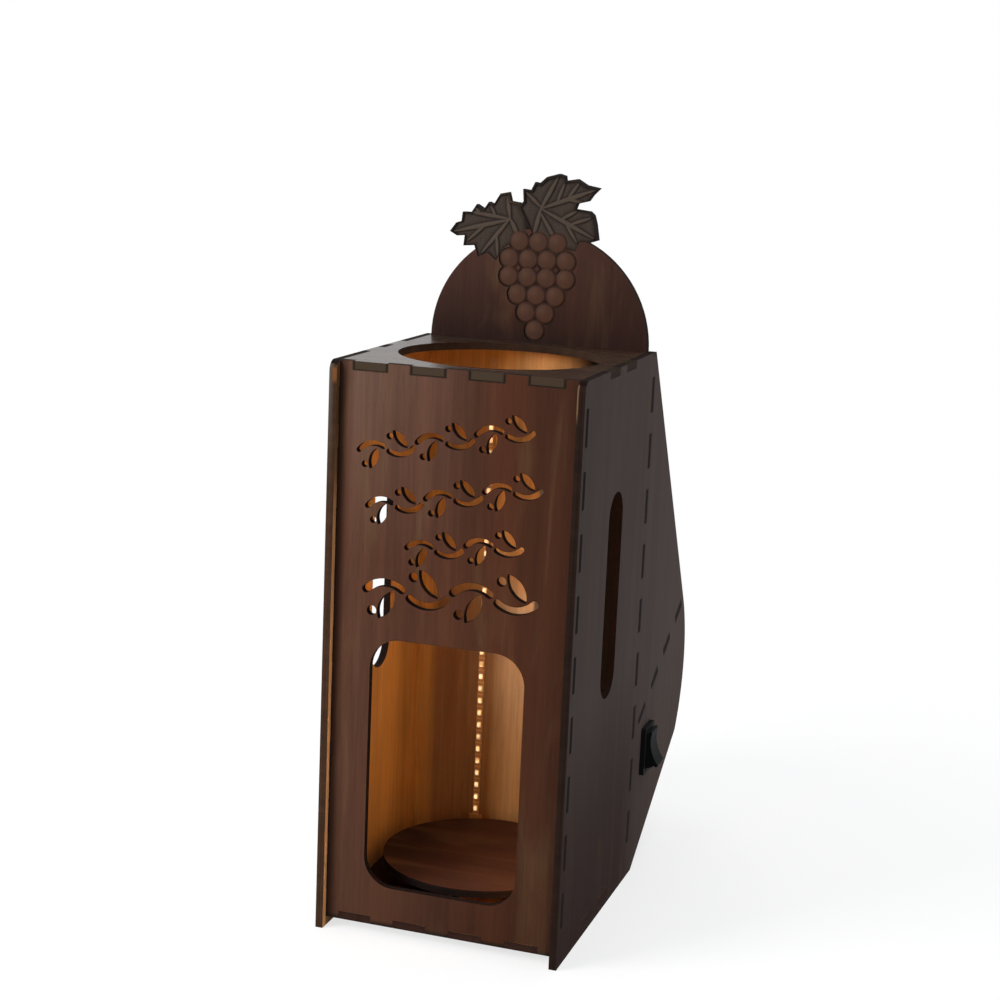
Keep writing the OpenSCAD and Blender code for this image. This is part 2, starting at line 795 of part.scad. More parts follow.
// Sweeps a round wire of radius r along points, closed at both ends
module swept(points, r, sides) {
    n = len(points);
    way = [for (i = [0 : n - 1])
        let (d = points[min(i + 1, n - 1)] - points[max(i - 1, 0)]) d / norm(d)];
    side_0 = cross(way[0], abs(way[0][2]) < 0.8 ? [0, 0, 1] : [1, 0, 0]);
    across = carried(way, [side_0 / norm(side_0)]);
    rings = [for (i = [0 : n - 1], k = [0 : sides - 1])
        let (a = 360 * k / sides, up = cross(way[i], across[i]))
            points[i] + r * (cos(a) * across[i] + sin(a) * up)];
    walls = [for (i = [0 : n - 2], k = [0 : sides - 1])
        let (a = i * sides + k, b = i * sides + (k + 1) % sides) [a, a + sides, b + sides, b]];
    first = [for (k = [0 : sides - 1]) k];
    last = [for (k = [0 : sides - 1]) n * sides - 1 - k];
    polyhedron(rings, concat(walls, [first], [last]));
}

// Carries a direction along a path without twisting it
function carried(way, done) = len(done) == len(way) ? done
    : let (w = way[len(done)], d = done[len(done) - 1], s = d - (d * w) * w)
        carried(way, concat(done, [s / norm(s)]));

// A path through corners, each rounded from at most r before it to r after it
function rounded(p, r, steps) = concat(
    [p[0]],
    [for (i = [1 : len(p) - 2]) let (
        before = p[i - 1] - p[i], after = p[i + 1] - p[i],
        a = p[i] + before / norm(before) * min(r, 0.45 * norm(before)),
        b = p[i] + after / norm(after) * min(r, 0.45 * norm(after))
    ) for (k = [0 : steps]) let (t = k / steps) (1 - t) * (1 - t) * a + 2 * t * (1 - t) * p[i] + t * t * b],
    [p[len(p) - 1]]
);

// A conical contact spring, from its wide end at the plate along +x
module contact_spring() {
    turns = 4;
    wire_r = 0.25;
    foot_r = 3.2;
    tip_r = 2;
    turn_steps = 14;
    last = turns * turn_steps;
    points = [for (i = [0 : last])
        let (f = i / last, r = foot_r + (tip_r - foot_r) * f, a = 360 * i / turn_steps)
            [wire_r + f * (spring_h - 2 * wire_r), r * cos(a), r * sin(a)]];
    swept(points, wire_r, 6);
}

module contact_springs() {
    color(tin) placed() for (i = [0 : 2]) {
        translate([tray_x, cell_y - cell_rest, cell_z[i]]) scale([cell_way[i], 1, 1])
            translate([-tray_in / 2 + plate_t + 0.1, 0, 0]) contact_spring();
    }
}

// A contact plate against an end wall of the tray, over one or two bays
module contact_plate(end, low, high) {
    plate_w = 8;
    x = end > 0 ? tray_in / 2 - plate_t - 0.05 : -tray_in / 2 + 0.05;
    translate([tray_x + x, cell_y - cell_rest - plate_w / 2, cell_z[low] - plate_w / 2])
        cube([plate_t, plate_w, cell_z[high] - cell_z[low] + plate_w]);
}

module contact_plates() {
    color(tin) placed() {
        contact_plate(-1, 0, 0);
        contact_plate(-1, 1, 2);
        contact_plate(1, 0, 1);
        contact_plate(1, 2, 2);
    }
}

// Heights of the LEDs on a strip
led_z = [for (i = [0 : led_n - 1]) strip_z + strip_len / 2 + (i - (led_n - 1) / 2) * led_pitch];

// Outline of a strip with its wide foot, in width and height
module strip_outline(x) {
    translate([x - strip_w / 2, strip_z]) square([strip_w, strip_len]);
    translate([x - strip_foot_w / 2, strip_z]) square([strip_foot_w, strip_foot_h]);
}

// An LED: a flat case with a long round lens on it, facing +y
module led() {
    lens_len = led_len - led_w;
    translate([-led_w / 2, 0, -led_len / 2]) cube([led_w, led_t, led_len]);
    intersection() {
        translate([0, led_t, 0]) {
            cylinder(h = lens_len, r = lens_r, center = true, $fn = 24);
            for (s = [-1, 1]) translate([0, 0, s * lens_len / 2]) sphere(lens_r, $fn = 24);
        }
        translate([-led_w, led_t / 2, -led_len]) cube([2 * led_w, 2 * lens_r, 2 * led_len]);
    }
}

module rear_led_strip() {
    color(strip_white) placed() upright_xz(rear_face, strip_t) strip_outline(rear_strip_x);
}

module rear_leds() {
    color(led_amber) placed() for (z = led_z) {
        translate([rear_strip_x, rear_face, z]) mirror([0, 1, 0]) led();
    }
}

module front_led_strip() {
    color(strip_white) placed() upright_xz(front_y, strip_t) strip_outline(front_strip_x);
}

module front_leds() {
    color(led_amber) placed() for (z = led_z) {
        translate([front_strip_x, front_face, z]) led();
    }
}

// Ends of the leads at the tray's plates, the terminals and the strips' pads
plus_end = [tray_x + tray_in / 2 + 0.05, cell_y, cell_z[2]];
minus_end = [tray_x - tray_in / 2 - 0.05, cell_y, cell_z[0]];
pad_z = strip_z + 2;
pad_in = 0.7;
pad_out = 2.1;
rear_pad_y = rear_face - lead_r - solder;
front_pad_y = front_face + lead_r + solder;
blade_end = [blade_x - lead_r - solder, switch_y, switch_z + blade_up];
blade_low = [blade_x - lead_r - solder, switch_y, switch_z - blade_up];
tray_foot_z = tray_z - tray_h / 2;
behind_y = rear_y + lead_r + 0.2;
hole_step = lead_d / 2 + 0.15;
bend_r = 5;

battery_route = [
    plus_end, plus_end + [6, 0, 0], [blade_end[0] - 6, switch_y, blade_end[2] - 3],
    [blade_end[0] - 3, switch_y, blade_end[2]], blade_end
];
switch_route = [
    blade_low, blade_low - [3, 0, 0], [lead_hole_x + hole_step, rear_y + 9, lead_hole_z],
    [lead_hole_x + hole_step, back_y - 4, lead_hole_z], [lead_hole_x - 5, track_y, lead_hole_z],
    [lead_hole_x - 14, track_y, track_z[3]], [rear_strip_x + pad_in + 3, track_y, track_z[3]],
    [rear_strip_x + pad_in, rear_pad_y, strip_z - 1.4], [rear_strip_x + pad_in, rear_pad_y, pad_z]
];
return_route = [
    minus_end, minus_end - [5, 0, 0], minus_end + [-5, behind_y - cell_y, tray_foot_z - 2 - cell_z[0]],
    [lead_hole_x - 8, behind_y, tray_foot_z - 1], [lead_hole_x - hole_step, rear_y + 3, lead_hole_z],
    [lead_hole_x - hole_step, back_y - 2, lead_hole_z - 0.4], [lead_hole_x - 1.4, track_y, track_z[2]],
    [lead_hole_x - 8, track_y, track_z[2]],
    [rear_strip_x - pad_in + 3, track_y, track_z[2]],
    [rear_strip_x - pad_in, rear_pad_y, strip_z - 1.4], [rear_strip_x - pad_in, rear_pad_y, pad_z]
];
link_bow = 1.5 * lead_d;
link_route_red = [
    [rear_strip_x + pad_out, rear_pad_y, pad_z], [rear_strip_x + pad_out, rear_pad_y, strip_z],
    [rear_strip_x + pad_out + 1, track_y - link_bow, track_z[3]],
    [rear_strip_x + pad_out + 2, track_y - link_bow, track_z[1]],
    [rear_strip_x + pad_out + 10, track_y, track_z[1]], [wall_x, track_y, track_z[1]],
    [wall_x, front_pad_y + 1, track_z[1]], [front_strip_x + pad_in, front_pad_y, track_z[1] + 1],
    [front_strip_x + pad_in, front_pad_y, pad_z]
];
link_route_black = [
    [rear_strip_x - pad_out, rear_pad_y, pad_z], [rear_strip_x - pad_out, rear_pad_y, track_z[0] + 1],
    [rear_strip_x, track_y, track_z[0]], [wall_x, track_y, track_z[0]],
    [wall_x, front_pad_y + 1, track_z[0]], [front_strip_x - pad_in, front_pad_y, track_z[0]],
    [front_strip_x - pad_in, front_pad_y, pad_z]
];

module lead(route) {
    placed() swept(rounded(route, bend_r, 4), lead_r, 8);
}

module battery_lead() {
    color(lead_red) lead(battery_route);
}

module switch_lead() {
    color(lead_red) lead(switch_route);
}

module return_lead() {
    color(lead_black) lead(return_route);
}

module link_lead_red() {
    color(lead_red) lead(link_route_red);
}

module link_lead_black() {
    color(lead_black) lead(link_route_black);
}

side_panel_left();
side_panel_right();
front_panel();
back_panel();
top_panel();
bottom_panel();
rest_disc();
rest_rib_long();
rest_rib_cross();
rear_shelf();
switch_housing();
switch_rocker();
switch_terminals();
battery_tray();
battery_cell_1();
battery_cell_2();
battery_cell_3();
contact_springs();
contact_plates();
rear_led_strip();
rear_leds();
front_led_strip();
front_leds();
battery_lead();
switch_lead();
return_lead();
link_lead_red();
link_lead_black();
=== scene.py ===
import math
from collections import namedtuple

import bpy
import numpy as np
from mathutils import Matrix, Vector


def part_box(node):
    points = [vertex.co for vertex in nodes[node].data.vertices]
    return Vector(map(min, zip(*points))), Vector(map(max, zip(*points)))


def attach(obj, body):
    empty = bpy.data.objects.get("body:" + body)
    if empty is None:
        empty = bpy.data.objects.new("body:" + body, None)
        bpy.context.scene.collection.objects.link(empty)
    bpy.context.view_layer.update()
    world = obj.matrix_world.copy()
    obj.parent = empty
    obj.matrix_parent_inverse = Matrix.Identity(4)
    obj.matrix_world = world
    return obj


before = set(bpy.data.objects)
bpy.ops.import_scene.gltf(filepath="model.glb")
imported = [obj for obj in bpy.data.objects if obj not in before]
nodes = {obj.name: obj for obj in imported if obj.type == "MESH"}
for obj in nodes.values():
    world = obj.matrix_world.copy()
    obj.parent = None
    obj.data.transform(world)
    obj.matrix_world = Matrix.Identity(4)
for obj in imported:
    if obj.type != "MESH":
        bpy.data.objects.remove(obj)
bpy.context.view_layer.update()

scene = bpy.context.scene
scene.view_settings.view_transform = "Standard"
HOLDER = "holder"

# Places are in millimetres of the box: x from its middle, y from its front edges, z from the table
front_low, front_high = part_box("front_panel")
BOX_ORIGIN = ((front_low.x + front_high.x) / 2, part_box("side_panel_left")[0].y, 0.0)


def metres(value, axis):
    """A coordinate of the box, in metres of the frame."""
    return BOX_ORIGIN["xyz".index(axis)] + value / 1000


def at(x, y, z):
    """A point of the box, in metres of the frame."""
    return Vector((metres(x, "x"), metres(y, "y"), metres(z, "z")))


def reach(node, axis):
    """Where a CAD node begins and ends along one axis, in millimetres of the box."""
    i = "xyz".index(axis)
    return tuple((corner[i] - BOX_ORIGIN[i]) * 1000 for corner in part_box(node))


INNER_X = reach("side_panel_right", "x")[0]
FRONT_BACK = reach("front_panel", "y")[1]
BACK_FACE, REAR_FACE = reach("back_panel", "y")
CEILING_Z, BOX_H = reach("top_panel", "z")
FOOT_H = reach("bottom_panel", "z")[0]
SHEET = BOX_H - CEILING_Z

# Camera of the photo
AZIMUTH, ELEVATION, ROLL = (math.radians(angle) for angle in (18.086, 11.485, 2.476))
LOOK_AT = (0, 41.67, 111.12)
DISTANCE, TO_RIGHT, TO_TOP = 776.4, 7.85, 57.17
FOCAL_PX, FRAME_PX, SENSOR = 1965.746, 1000, 36


def set_camera():
    away = Vector((
        math.sin(AZIMUTH) * math.cos(ELEVATION),
        -math.cos(AZIMUTH) * math.cos(ELEVATION),
        math.sin(ELEVATION),
    ))
    level = Vector((math.cos(AZIMUTH), math.sin(AZIMUTH), 0))
    upright = away.cross(level)
    right = math.cos(ROLL) * level + math.sin(ROLL) * upright
    up = -math.sin(ROLL) * level + math.cos(ROLL) * upright
    eye = at(*LOOK_AT) + (away * DISTANCE + right * TO_RIGHT + up * TO_TOP) / 1000
    data = bpy.data.cameras.new("camera")
    data.sensor_width = SENSOR
    data.lens = FOCAL_PX / FRAME_PX * SENSOR
    data.clip_start = 0.01
    data.clip_end = 50
    camera = bpy.data.objects.new("camera", data)
    scene.collection.objects.link(camera)
    camera.matrix_world = Matrix((
        (right.x, up.x, away.x, eye.x),
        (right.y, up.y, away.y, eye.y),
        (right.z, up.z, away.z, eye.z),
        (0, 0, 0, 1),
    ))
    scene.camera = camera


set_camera()


# Node helpers
class Tree:
    """Short calls for building the nodes of a material or a world."""

    def __init__(self, name, kind="materials"):
        self.owner = getattr(bpy.data, kind).new(name)
        self.owner.use_nodes = True
        self.tree = self.owner.node_tree
        self.tree.nodes.clear()
        self.out = self.node("OutputWorld" if kind == "worlds" else "OutputMaterial")

    def node(self, kind, **settings):
        """A shader node; a setting is an attribute of it or else the value of an input."""
        made = self.tree.nodes.new("ShaderNode" + kind)
        for key, value in settings.items():
            if hasattr(made, key):
                setattr(made, key, value)
            else:
                made.inputs[key.replace("_", " ")].default_value = value
        return made

    def put(self, socket, value):
        """Links a socket to an input, or sets the input to a plain value."""
        if isinstance(value, bpy.types.NodeSocket):
            self.tree.links.new(value, socket)
        else:
            socket.default_value = value

    def math(self, operation, first, second=0.0, clamp=False):
        made = self.node("Math", operation=operation, use_clamp=clamp)
        self.put(made.inputs[0], first)
        self.put(made.inputs[1], second)
        return made.outputs[0]

    def total(self, *pairs):
        """Sum of value × weight."""
        out = None
        for value, weight in pairs:
            term = self.math("MULTIPLY", value, weight)
            out = term if out is None else self.math("ADD", out, term)
        return out

    def coords(self, scale=(1, 1, 1), turn=(0, 0, 0), shift=(0, 0, 0), source="Object"):
        """Object coordinates, or another output of Texture Coordinate, turned and scaled."""
        mapping = self.node("Mapping", Location=shift, Rotation=turn, Scale=scale)
        self.put(mapping.inputs["Vector"], self.node("TexCoord").outputs[source])
        return mapping.outputs[0]

    def parts(self, source="Object", turn=(0, 0, 0)):
        """x, y and z of the object coordinates, or of the surface's own direction."""
        split = self.node("SeparateXYZ")
        self.put(split.inputs[0], self.coords(turn=turn, source=source))
        return split.outputs

    def noise(self, vector, scale, detail=2.0, rough=0.5, distort=0.0):
        made = self.node("TexNoise", Scale=scale, Detail=detail, Roughness=rough, Distortion=distort)
        self.put(made.inputs["Vector"], vector)
        return made.outputs["Fac"]

    def ramp(self, share, stops):
        made = self.node("ValToRGB")
        elements = made.color_ramp.elements
        while len(elements) > 1:
            elements.remove(elements[-1])
        for i, (place, colour) in enumerate(stops):
            element = elements[0] if i == 0 else elements.new(place)
            element.position = place
            element.color = (*colour, 1)
        self.put(made.inputs[0], share)
        return made.outputs[0]

    def mix(self, share, first, second, blend="MIX"):
        made = self.node("Mix", data_type="RGBA", blend_type=blend)
        self.put(made.inputs[0], share)
        for socket, value in zip(made.inputs[6:8], (first, second)):
            self.put(socket, value if isinstance(value, bpy.types.NodeSocket) else (*value, 1))
        return made.outputs[2]

    def step(self, value, low, high):
        """0 at low, 1 at high, and smooth between them."""
        made = self.node("MapRange", interpolation_type="SMOOTHSTEP", From_Min=low, From_Max=high)
        self.put(made.inputs["Value"], value)
        return made.outputs["Result"]

    def bump(self, height, distance, strength):
        made = self.node("Bump", Strength=strength, Distance=distance)
        self.put(made.inputs["Height"], height)
        return made.outputs[0]

    def shade(self, colour, rough, normal, **settings):
        """The surface's shader, given as colour, roughness, bump and plain values."""
        made = self.node("BsdfPrincipled", **settings)
        self.put(made.inputs["Base Color"], colour)
        self.put(made.inputs["Roughness"], rough)
        self.put(made.inputs["Normal"], normal)
        self.put(self.out.inputs["Surface"], made.outputs[0])
        return made

    def blend(self, share, first, second):
        """Mix of two shaders."""
        made = self.node("MixShader")
        self.put(made.inputs[0], share)
        self.put(made.inputs[1], first)
        self.put(made.inputs[2], second)
        return made.outputs[0]

    def view_ray(self):
        """1 for what the camera sees straight, mirrored or through glass, and 0 for light that bounces."""
        path = self.node("LightPath").outputs
        mirrored = self.math("MAXIMUM", path["Is Glossy Ray"], path["Is Transmission Ray"])
        return self.math("MAXIMUM", path["Is Camera Ray"], mirrored)


def srgb(red, green, blue):
    """A picture's colour, 0 to 255, as the linear colour of a material."""
    shares = (value / 255 for value in (red, green, blue))
    return tuple(((share + 0.055) / 1.055) ** 2.4 if share > 0.04 else share / 12.92 for share in shares)


def dim(colour, factor):
    return tuple(value * factor for value in colour)


def grey(value):
    return (value, value, value)


def fade(*points):
    """Stops of a grey ramp."""
    return tuple((place, grey(value)) for place, value in points)


# Colours of the wood
RAW = (0.50, 0.255, 0.080)
NATURAL = (0.42, 0.28, 0.16)
# Dark brown of the painted shadow inside the box and on the rest disc
PAINTED_SHADOW = srgb(36, 15, 9)
STAIN = srgb(84, 54, 42)
SIDE = (0.0910, 0.0700, 0.0645)
ROUND = (0.068, 0.0280, 0.0200)
FIGURE = (0.14, 0.082, 0.040)
BURN = (0.012, 0.009, 0.006)
CHAR = srgb(26, 17, 15)
SCORCH = dim(SIDE, 0.42)

ROUND_R = 46.5
ROUND_Z = BOX_H

# Slots of a row in a side panel: the middle of one slot, the row's angle and the slots' distance,
# which is 0 where a ramp runs across the row instead
Row = namedtuple("Row", "y z angle pitch")


def wash(t, *ramps):
    """Colour that changes over a sheet, for painted light and shade as well as the wood's own colours: each
    ramp is (axis, from mm, to mm, stops), and they multiply.
    Axis round is the distance from the middle of the round back. A Row is the distance along it to the
    middle of the nearest slot, or the distance across it."""
    colour = None
    for axis, low, high, stops in ramps:
        x, y, z = t.parts()
        start = low / 1000
        if axis == "round":
            squares = [
                t.math("POWER", t.math("SUBTRACT", x, BOX_ORIGIN[0]), 2.0),
                t.math("POWER", t.math("SUBTRACT", z, ROUND_Z / 1000), 2.0),
            ]
            value = t.math("SQRT", t.math("ADD", *squares))
        elif isinstance(axis, Row):
            turn = axis.angle if axis.pitch else axis.angle + math.pi / 2
            from_y = t.math("SUBTRACT", y, metres(axis.y, "y"))
            from_z = t.math("SUBTRACT", z, metres(axis.z, "z"))
            value = t.total((from_y, math.cos(turn)), (from_z, math.sin(turn)))
            if axis.pitch:
                value = t.math("PINGPONG", value, axis.pitch / 2000)
            else:
                value = t.math("ABSOLUTE", value)
        else:
            value = (x, y, z)["xyz".index(axis)]
            start = metres(low, axis)
        share = t.math("DIVIDE", t.math("SUBTRACT", value, start), (high - low) / 1000, clamp=True)
        tint = t.ramp(share, stops)
        colour = tint if colour is None else t.mix(1.0, colour, tint, "MULTIPLY")
    return colour


GRAIN_MIDDLE, GRAIN_SWING, DARK_PORE = 0.7, 0.34, 0.32


def plywood(name, normal, grain, outer, outer_sign=0, inner=RAW, slope=0.0, edge=CHAR, lip=None,
            matt=0.6, shine=0.25, contrast=1.0, seed=0.0, painted_shading=(), inner_painted_shading=(), patches=(),
            inner_patches=(), edge_patches=()):
    """A sheet: faces with grain along one axis, and burnt edges.
    outer_sign 0 colours both faces alike. With -1 or 1 the face that looks that way along normal has
    the outer colour and the other face the inner one. lip is the colour of edges at the box's very
    front. painted_shading and inner_painted_shading paint light and shade on the two faces as washes, and a
    patch is a colour with its wash."""
    t = Tree(name)
    turn = (-slope, 0, 0)
    shift = (seed, seed * 1.7, seed * 0.6)

    def stretched(axis, scale, other=1.0):
        scales = [other] * 3
        scales["xyz".index(axis)] = scale
        return t.coords(scales, turn, shift)

    # Soft bands, streaks, fibres and short pores, all drawn out along the grain
    cloud = t.noise(stretched(grain, 0.35), 26, 2, 0.5)
    bands = t.noise(stretched(grain, 0.045), 120, 2, 0.5, 0.5)
    streak = t.noise(stretched(grain, 0.03), 520, 3, 0.55, 0.3)
    fibre = t.noise(stretched(grain, 0.025), 2400, 3, 0.6)
    pores = t.step(t.noise(stretched(grain, 0.05), 3600, 1, 0.5), 0.66, 0.74)
    figure = t.step(t.noise(stretched(grain, 0.16), 75, 3, 0.55, 0.8), 0.52, 0.72)
    hue = t.ramp(cloud, ((0.36, (0.96, 1.0, 1.05)), (0.64, (1.0, 0.97, 0.88))))
    tone = t.total((cloud, 0.28), (bands, 0.28), (streak, 0.22), (fibre, 0.22))
    swing = GRAIN_SWING * contrast
    shades = t.ramp(tone, (
        (0.38, grey(GRAIN_MIDDLE * (1 - swing))),
        (0.50, grey(GRAIN_MIDDLE)),
        (0.62, grey(GRAIN_MIDDLE * (1 + 1.15 * swing))),
    ))
    shades = t.mix(t.math("MULTIPLY", pores, 0.35 * contrast), shades, grey(DARK_PORE))

    def face(main, washes, spots):
        colour = dim(main, 1 / GRAIN_MIDDLE)
        if washes:
            colour = t.mix(1.0, colour, wash(t, *washes), "MULTIPLY")
        for tint, *where in spots:
            colour = t.mix(wash(t, *where), colour, dim(tint, 1 / GRAIN_MIDDLE))
        colour = t.mix(t.math("MULTIPLY", figure, 0.34 * contrast), colour, dim(FIGURE, 1 / GRAIN_MIDDLE))
        colour = t.mix(contrast, colour, hue, "MULTIPLY")
        return t.mix(1.0, colour, shades, "MULTIPLY")

    facing = t.parts("Normal", turn)["xyz".index(normal)]
    colour = face(outer, painted_shading, patches)
    if outer_sign:
        other = t.step(t.math("MULTIPLY", facing, float(-outer_sign)), 0.3, 0.5)
        colour = t.mix(other, colour, face(inner, inner_painted_shading, inner_patches))

    # Edges: the glue lines of the sheet's layers and the laser's fine marks across them
    layers = t.noise(stretched(normal, 850.0, 8.0), 1.0, 1, 0.5)
    marks = t.noise(stretched(normal, 60.0, 240.0), 1.0, 2, 0.6)
    edge_tone = t.total((layers, 0.6), (marks, 0.4))

    def burnt(main):
        return t.ramp(edge_tone, ((0.38, dim(main, 0.72)), (0.52, main), (0.66, dim(main, 1.28))))

    edges = burnt(edge)
    if lip:
        ahead = t.step(t.parts()[1], metres(1.2, "y"), metres(0.4, "y"))
        edges = t.mix(ahead, edges, burnt(lip))
    for tint, *where in edge_patches:
        edges = t.mix(wash(t, *where), edges, tint)
    is_edge = t.step(t.math("ABSOLUTE", facing), 0.75, 0.55)
    colour = t.mix(is_edge, colour, edges)

    relief = t.total((streak, 0.35), (fibre, 0.45), (pores, -0.6))
    rough = t.math("ADD", t.total((streak, 0.14), (is_edge, 0.7)), matt - 0.07, clamp=True)
    t.shade(colour, rough, t.bump(relief, 0.00008, 0.5 * contrast), Specular_IOR_Level=shine)
    return t.owner


# Tabs of the top panel in the front panel's upper edge
TAB_X, TAB_HALF = (-34.35, -11.45, 11.45, 34.35), 6.7
TABS_REACH = 46


def along_tabs(*points):
    """A grey ramp over the front's width that repeats (distance from a tab's middle, value)."""
    stops = [((x + TABS_REACH + place) / (2 * TABS_REACH), value) for x in TAB_X for place, value in points]
    return ("x", -TABS_REACH, TABS_REACH, fade(*stops))


def front_wood():
    """Red stain with painted shade that darkens it to the right and towards the foot, a painted sheen at the
    top left, a painted shadow along the left border, a dark line at the foot and burnt lines under the top
    notches.
    """
    # Painted shade: the colour darkens towards the right, away from the key light.
    shade_to_right = ("x", -46, 46, (
        (0.0, (0.98, 1.0, 1.0)),
        (0.35, (0.98, 0.88, 0.76)),
        (0.62, (0.88, 0.71, 0.55)),
        (1.0, (0.57, 0.47, 0.38)),
    ))
    # Painted shade: darker towards the foot.
    shade_to_foot = ("z", FOOT_H, 60, fade((0, 0.88), (1, 1)))
    # Painted shadow: a soft dark band along the left border, shaded by the left panel's front edge.
    left_joint_shadow = ("x", -INNER_X, -42.4, fade((0, 0.22), (0.3, 0.5), (1, 1)))
    # Painted sheen: a paler, greyer colour at the top left.
    top_left_sheen = (
        (0.135, 0.080, 0.066),
        ("x", -44, 20, fade((0, 0), (0.07, 0.72), (1, 0))),
        ("z", 150, 224, fade((0, 0.12), (1, 1))),
    )
    lower_joint = (BURN, ("z", 4.2, 6.0, fade((0, 1), (0.4, 0.8), (1, 0))))
    wide, narrow = TAB_HALF + 0.7, TAB_HALF + 0.4
    notches = (
        BURN,
        ("z", 221.2, 221.7, fade((0, 0), (1, 0.9))),
        along_tabs((-wide, 0), (-narrow, 1), (narrow, 1), (wide, 0)),
    )
    return plywood("front_wood", "y", "z", (0.086, 0.035, 0.0215), -1, matt=0.62, shine=0.09,
                   contrast=0.85, seed=0.11, painted_shading=(shade_to_right, shade_to_foot, left_joint_shadow),
                   patches=(top_left_sheen, lower_joint, notches))


def back_wood():
    """Stained at the rear and on the round top, with painted shade low on the round top and towards its
    right. Inside, painted light in raw and pale tones where the box's inside is lit, and a painted shadow in
    the right corner.
    """
    above = ("z", 221, 224, fade((0, 0), (1, 1)))
    return plywood(
        "back_wood", "y", "z", ROUND, 1, inner=(0.22, 0.116, 0.056), edge=srgb(31, 24, 22), matt=0.62,
        shine=0.1, contrast=0.8, seed=0.37,
        inner_patches=(
            # Painted light: a pale band to the right of the middle, inside.
            ((0.61, 0.43, 0.27), ("x", -14, -3, fade((0, 0), (1, 1)))),
            # Painted light in raw tones: high up and by the left wall.
            (RAW, ("z", 112, 132, fade((0, 0), (1, 0.85)))),
            (RAW, ("x", -INNER_X, -38, fade((0, 0.9), (0.5, 0.9), (1, 0)))),
            # Painted shadow in the inside's right corner.
            (dim(PAINTED_SHADOW, 0.35), ("x", 6, 24, fade((0, 0), (1, 1)))),
            (ROUND, above),
            # Painted shade low on the round top, by the top panel.
            ((0.0177, 0.0064, 0.0044), ("z", CEILING_Z, 266, fade((0, 0), (0.04, 1), (1, 0)))),
            # Painted shade towards the round top's right.
            ((0.034, 0.0120, 0.0082), ("x", 4, 46, fade((0, 0), (1, 0.6))), above),
            (srgb(30, 23, 19), ("round", ROUND_R - 0.3, ROUND_R + 0.3, fade((0, 0), (1, 1))), above),
        ),
    )


LIP_ONLY = ("y", 0, 1.2, fade((0, 1), (0.6, 1), (1, 0)))
STRIP_ONLY = ("y", 2.6, 3.0, fade((0, 1), (1, 0)))
PAST_BACK = ("y", 99, 102, fade((0, 0), (1, 1)))


def left_side_wood():
    """Grey-brown stain outside. Inside it is warm up to the back panel, with painted shade towards the rear,
    and a strip before the front panel with painted light that turns to painted shade towards the top."""
    grey_lip = (
        srgb(98, 90, 82),
        ("x", -49.8, -47.6, fade((0, 0.9), (0.5, 0.6), (1, 0))),
        LIP_ONLY,
        ("z", 176, 212, fade((0, 0), (1, 1))),
    )
    orange_spot = (
        srgb(138, 86, 44),
        ("x", -48.6, -46.4, fade((0, 0), (0.3, 0.8), (1, 0.7))),
        LIP_ONLY,
        ("z", 216, 223, fade((0, 0), (0.3, 0.85), (0.8, 0.85), (1, 0))),
    )
    # Painted shade: the strip before the front panel gets dark towards the top.
    strip_top_shade = (
        (0.030, 0.015, 0.008),
        STRIP_ONLY,
        ("z", 60, 200, fade((0, 0), (0.5, 0.04), (0.72, 0.24), (0.88, 0.8), (1, 0.9))),
    )
    return plywood(
        "side_wood_left", "x", "z", SIDE, -1, lip=srgb(69, 48, 35), matt=0.7, shine=0.1, contrast=0.8,
        seed=0.53, edge_patches=(grey_lip, orange_spot),
        # Painted shade: the inside gets darker and cooler towards the rear.
        inner_painted_shading=(("y", 66, 82, ((0.0, grey(1.0)), (1.0, (0.86, 0.88, 0.92)))),),
        # Painted light: the strip before the front panel is far brighter than the raw wood.
        inner_patches=((NATURAL, PAST_BACK), ((0.92, 0.46, 0.20), STRIP_ONLY), strip_top_shade),
    )


SHELF_ANGLE = math.radians(28)
SIDE_TAB, SIDE_TAB_PITCH, TOP_SIDE_TAB_Z = 14, 23.15, 207.75
SHELF_TAB, SHELF_TAB_PITCH, SHELF_TAB_END, SHELF_Z = 11.5, 22.1, 3.2, 64.5


def scorch(y, z, angle, pitch, tab, limit):
    """Darker wood on both sides of the slots of one row."""
    across = (Row(y, z, angle, 0), 0, 3.4, fade((0, 1), (0.45, 1), (1, 0)))
    along = (Row(y, z, angle, pitch), tab / 2, tab / 2 + 0.6, fade((0, 1), (1, 0)))
    return (SCORCH, across, along, limit)


def shelf_row():
    """The middle of the shelf's last tab, in the middle of the sheet."""
    end_y = reach("rear_shelf", "y")[1] - SHEET * math.sin(SHELF_ANGLE) - REAR_FACE
    run = end_y / math.cos(SHELF_ANGLE) - SHELF_TAB_END - SHELF_TAB / 2
    y = REAR_FACE + SHEET / 2 * math.sin(SHELF_ANGLE) + run * math.cos(SHELF_ANGLE)
    z = SHELF_Z - SHEET / 2 * math.cos(SHELF_ANGLE) + run * math.sin(SHELF_ANGLE)
    return y, z


